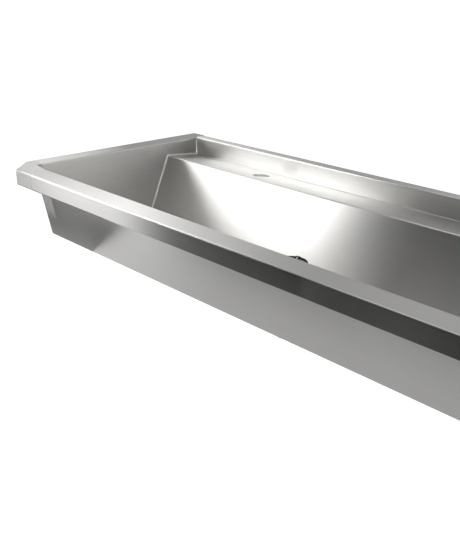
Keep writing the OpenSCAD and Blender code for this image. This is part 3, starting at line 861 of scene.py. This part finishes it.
def makeBracket(m):
    thick, past, over, steps, near = m.bracket, m.cutPast, m.overlap, m.softSteps, m.bracketY
    top = -s.body - m.hatHeight - m.strip
    arm, wall = top - thick, s.depth
    low, high = m.fixZ - m.fixPitch / 2 - m.drop, m.fixZ + m.fixPitch / 2 + m.edge
    left = -m.x - m.bracketWidth / 2 - thick + m.bracketIn
    right, inside = left + m.bracketWidth + thick, left + m.weld
    outline = [(near, top), (near, arm - m.armEnd), (near + m.web[0], arm - m.web[1]), (wall, low), (wall, high),
               (wall - m.wallSlope[0], high), (wall - m.wallSlope[1], top)]
    plate = prismX("bracketLeft", softLoop(outline, m.plateSofts, steps), left, left + thick)
    back = wall - m.wallGap
    armLoop = roundedBox(inside, right, near + over, back, (0, m.flangeSoft, m.wallSoft, 0), steps)
    carve(plate, lofted("armFlange", [[home(x, y, z) for x, y in armLoop] for z in (arm, top - over)]), "UNION")
    wallLoop = roundedBox(inside, right, low + over, high - over, (0, m.flangeSoft, m.flangeSoft, 0), steps)
    carve(plate, lofted("wallFlange", [[home(x, y, z) for x, z in wallLoop]
                                       for y in (wall - thick, wall - over)]), "UNION")
    for y in m.boltY:
        carve(plate, cylinderTool("cutBolt", (-m.x, y, arm), m.bolt + m.play, -past, thick + past, m.steps))
    for share in (-0.5, 0.5):
        place = (-m.x, wall, m.fixZ + share * m.fixPitch)
        carve(plate, cylinderTool("cutFix", place, m.fixHole / 2, -thick - past, past, m.steps, math.pi / 2))
    finishPair(plate, "bracketRight", "millSteel", "bracket", m.bracketEdge, sheetSharp)


def makeHexPieces(name, node, look, m, loopAt, places, tilt=0.0):
    finishFitting(turned(name, loopAt, m.steps, places, tilt), look, node, 0, m.sharp)


def makeWashers(name, node, m, places, tilt=0.0):
    loop = roundedBox(m.bolt + m.play, m.washerRadius, 0, m.washer, m.washerSofts)
    finishFitting(turned(name, loop, m.washerSteps, places, tilt), "boltSteel", node)


def makeFasteners(m):
    hatLow = -s.body - m.hatHeight
    under = hatLow - m.strip - m.bracket - m.washer
    places = [(side * m.x, y) for side in (-1, 1) for y in m.boltY]
    length = m.head + m.washer + m.bracket + m.strip + m.hatThick + m.nut + m.boltPast
    makeHexPieces("bracketBolts", "bracket_bolts", "boltSteel", m, boltLoop(m, length),
                  [(x, y, under - m.head) for x, y in places])
    makeHexPieces("weldNuts", "weld_nuts", "boltSteel", m, nutLoop(m.flats, m.nut, m.bolt),
                  [(x, y, hatLow + m.hatThick) for x, y in places])
    makeWashers("bracketWashers", "bracket_washers", m, [(x, y, under) for x, y in places])


padSizes = Sizes(thick=3, inner=95, width=230, depth=190, y=105, cell=10, groove=0.7, grooveHalf=(0.6, 1.4))


def makePad(m):
    # Sheet with square cells pressed into its lower face
    cell, (narrow, wide) = m.cell, m.grooveHalf
    xs, ys = [0.0], [0.0]
    for line, size in ((xs, m.width), (ys, m.depth)):
        for k in range(1, int(size / cell)):
            line += [k * cell - wide, k * cell - narrow, k * cell + narrow, k * cell + wide]
        line.append(size)

    def rise(value, size):
        near = abs((value + cell / 2) % cell - cell / 2)
        inside = cell / 2 < value < size - cell / 2
        return m.groove * max(0, min(1, (wide - near) / (wide - narrow))) if inside else 0
    x0, y0, high = -m.inner - m.width, m.y, -s.body
    bm = bmesh.new()
    grid = [[bm.verts.new(home(x0 + x, y0 + y, high - m.thick + max(rise(x, m.width), rise(y, m.depth))))
             for x in xs] for y in ys]
    for one, two in zip(grid, grid[1:]):
        for k in range(len(xs) - 1):
            bm.faces.new((one[k], two[k], two[k + 1], one[k + 1]))
    edge = grid[0] + [row[-1] for row in grid[1:]] + grid[-1][-2::-1] + [row[0] for row in grid[-2:0:-1]]
    tops = [bm.verts.new((v.co.x, v.co.y, home(0, 0, high).z)) for v in edge]
    for k in range(len(edge)):
        j = (k + 1) % len(edge)
        bm.faces.new((edge[k], edge[j], tops[j], tops[k]))
    bm.faces.new(tops[::-1])
    finishPair(addObject("dampingPadLeft", bm), "dampingPadRight", "dampingSheet", "damping_pad", 0, roundSharp)


earth = Sizes(
    y=415.5, z=-60, bolt=3, play=0.5, flats=10, head=4, length=22, pitch=1.0, nut=5, lug=2, steps=36, sharp=25,
    washer=1.2, washerRadius=6, washerSteps=48, washerSofts=(0.2, 0.4, 0.4, 0.2))


def makeEarth(e):
    tilt, start, end = -math.pi / 2, e.y - e.washer, e.y + e.lug
    makeHexPieces("earthBolt", "earth_bolt", "boltSteel", e, boltLoop(e, e.length), [(0, start - e.head, e.z)], tilt)
    makeHexPieces("earthNut", "earth_nut", "brass", e, nutLoop(e.flats, e.nut, e.bolt),
                  [(0, end + e.washer, e.z)], tilt)
    makeWashers("earthWashers", "earth_washers", e, [(0, start, e.z), (0, end, e.z)], tilt)


# Nodes whose own shape is kept get a material and softened edges
keptNodes = {"tap_plate_left": "millSteel", "tap_plate_right": "millSteel", "earth_lug": "millSteel",
             "bracket_strips": "blackRubber"}
keptEdge, keptAngle = 0.4, 30


makeStiffener(mounting)
makeBracket(mounting)
makeFasteners(mounting)
makePad(padSizes)
makeEarth(earth)
for node, look in keptNodes.items():
    dress(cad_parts[node], fitting[look], keptEdge, keptAngle)
print("mounting and earth parts built")


# Studio: pale floor, white surroundings, and soft boxes, cards and dark flags that the sheet mirrors
studio = Sizes(
    floorHeight=-0.77, floorSize=30, floorColour=(0.86, 0.86, 0.86, 1), floorGlow=0.55, floorRough=0.9,
    mirrored=0.44, fill=0.68, lamp=Sizes(place=(-1.1, -1.3, 2.1), aim=(-0.1, -0.25, 0.0), size=1.8, power=30))


def makeFloor(look):
    mesh = bpy.data.meshes.new("floor")
    size, z = look.floorSize, look.floorHeight
    mesh.from_pydata([(-size, -size, z), (size, -size, z), (size, size, z), (-size, size, z)], [], [(0, 1, 2, 3)])
    floor = linkObject("floor", mesh)
    mat, tree, shader, _ = newMaterial("paleFloor", 0.0, look.floorRough)
    shader.inputs["Base Color"].default_value = look.floorColour
    path = addNode(tree, "LightPath").outputs
    seen = mathNode(tree, "MAXIMUM", path["Is Camera Ray"], path["Is Glossy Ray"])
    glow = addNode(tree, "Emission", {"Strength": mathNode(tree, "MULTIPLY", seen, look.floorGlow)})
    both = addNode(tree, "AddShader", {0: shader.outputs[0], 1: glow.outputs[0]})
    tree.links.new(both.outputs[0], tree.nodes["Material Output"].inputs[0])
    mesh.materials.append(mat)


def makeWorld(look):
    world = bpy.data.worlds.new("studio")
    scene.world = world
    tree = emptyTree(world)
    path = addNode(tree, "LightPath").outputs
    glossy = addNode(tree, "Mix", {0: path["Is Glossy Ray"], 2: look.fill, 3: look.mirrored}).outputs[0]
    seen = addNode(tree, "Mix", {0: path["Is Camera Ray"], 2: glossy, 3: 1.0}).outputs[0]
    back = addNode(tree, "Background", {"Color": (1, 1, 1, 1), "Strength": seen})
    tree.links.new(back.outputs[0], addNode(tree, "OutputWorld").inputs[0])


# Panels stand round the part and only its reflections show them. Each row has the two opposite corners and the
# levels; with two levels, also the axis and the places between which the level goes from one to the other.
panels = {
    "softBoxLeft": ((-1.4, -0.95, -0.35), (-0.79, -0.95, 0.92), (0.05, 5.4), "Z", (-0.3, 0.8)),
    "softBoxFar": ((-3.0, -0.95, -0.35), (-1.4, -0.95, 0.92), (0.02, 5.4), "Z", (0.0, 0.8)),
    "rimCard": ((-1.4, -0.94, -0.35), (-0.79, -0.94, 0.02), (1.2,)),
    "baseLeft": ((-1.24, -0.95, -0.77), (-0.75, -0.95, -0.35), (0.4,)),
    "baseFar": ((-3.0, -0.95, -0.77), (-1.24, -0.95, -0.35), (0.02,)),
    "flagFront": ((-0.79, -0.95, -0.35), (1.0, -0.95, 2.3), (0.02,)),
    "cardTwice": ((-0.03, -0.949, 0.3), (0.15, -0.949, 0.7), (7.0,)),
    "flagTwice": ((0.16, -0.949, -0.1), (0.16, -0.53, 0.8), (0.06,)),
    "flagBase": ((-0.75, -0.95, -0.77), (1.0, -0.95, -0.35), (0.17,)),
    "softBoxRight": ((1.0, -0.95, -0.77), (2.8, -0.95, 0.85), (0.02, 1.6), "Z", (-0.05, 0.45)),
    "cardBelow": ((-0.412, -0.55, -0.0185), (1.1, -0.405, -0.0185), (0.72, 0.56), "X", (-0.4, -0.05)),
    "cardLeft": ((-0.8, -0.55, -0.0185), (-0.412, -0.405, -0.0185), (0.02, 0.24), "Y", (-0.48, -0.405)),
    "darkFloor": ((-3.0, -0.95, -0.765), (3.0, -0.5, -0.765), (0.02,)),
    "cardRear": ((-4.0, 0.0, 1.2), (-4.0, 2.2, 4.2), (0.9, 2.1), "Z", (1.2, 2.0)),
    "flagRear": ((-4.0, 0.0, -0.77), (-4.0, 2.2, 1.2), (0.02,)),
    "backCard": ((-3.0, 0.5, -0.77), (3.0, 0.5, 0.03), (0.12, 0.6), "Z", (-0.6, 0.03)),
    "endCard": ((1.0, -0.95, -0.77), (1.0, 0.5, 0.03), (0.12, 0.6), "Z", (-0.6, 0.03)),
    "cavityCard": ((-0.54, -0.11, 0.035), (0.54, -0.015, 0.035), (1.6,)),
    "softBoxTop": ((-1.6, -1.4, 2.6), (1.6, 1.2, 2.6), (1.0,)),
    "horizonRear": ((-2.3, 4.0, -0.77), (2.3, 4.0, 0.85), (1.3,)),
    "horizonRight": ((4.0, -6.0, -0.77), (4.0, 6.0, 1.3), (2.0,)),
}
brightFrom = 1        # a panel above this level is sampled as a light
unsampled = ("cardTwice",)        # its light would get past flagTwice


def makePanel(name, corner, opposite, levels, along="Z", between=(0, 1)):
    mesh = bpy.data.meshes.new(name)
    first, last = Vector(corner), Vector(opposite)
    width = Vector((last.x - first.x, 0, 0)) if last.x != first.x else Vector((0, last.y - first.y, 0))
    mesh.from_pydata([first, first + width, last, last - width], [], [(0, 1, 2, 3)])
    panel = linkObject(name, mesh)
    for ray in ("camera", "diffuse", "transmission", "volume_scatter", "shadow"):
        setattr(panel, "visible_" + ray, False)
    mat = bpy.data.materials.new(name)
    tree = emptyTree(mat)
    split = addNode(tree, "SeparateXYZ", {0: addNode(tree, "TexCoord").outputs["Object"]}).outputs
    level = remap(tree, split[along], *between, levels[0], levels[-1])
    glow = addNode(tree, "Emission", {"Strength": level})
    tree.links.new(glow.outputs[0], addNode(tree, "OutputMaterial").inputs[0])
    mat.cycles.emission_sampling = "FRONT_BACK" if levels[-1] > brightFrom and name not in unsampled else "NONE"
    mesh.materials.append(mat)


def makeLamp(look):
    data = bpy.data.lights.new("softLamp", "AREA")
    data.size, data.energy = look.size, look.power
    lamp = linkObject("softLamp", data)
    aim = Vector(look.aim) - Vector(look.place)
    lamp.matrix_world = Matrix.Translation(look.place) @ aim.to_track_quat("-Z", "Y").to_matrix().to_4x4()
    lamp.visible_glossy = False


makeFloor(studio)
makeWorld(studio)
for panelName, panelRow in panels.items():
    makePanel(panelName, *panelRow)
makeLamp(studio.lamp)
scene.view_settings.view_transform = "Standard"
print("studio built")
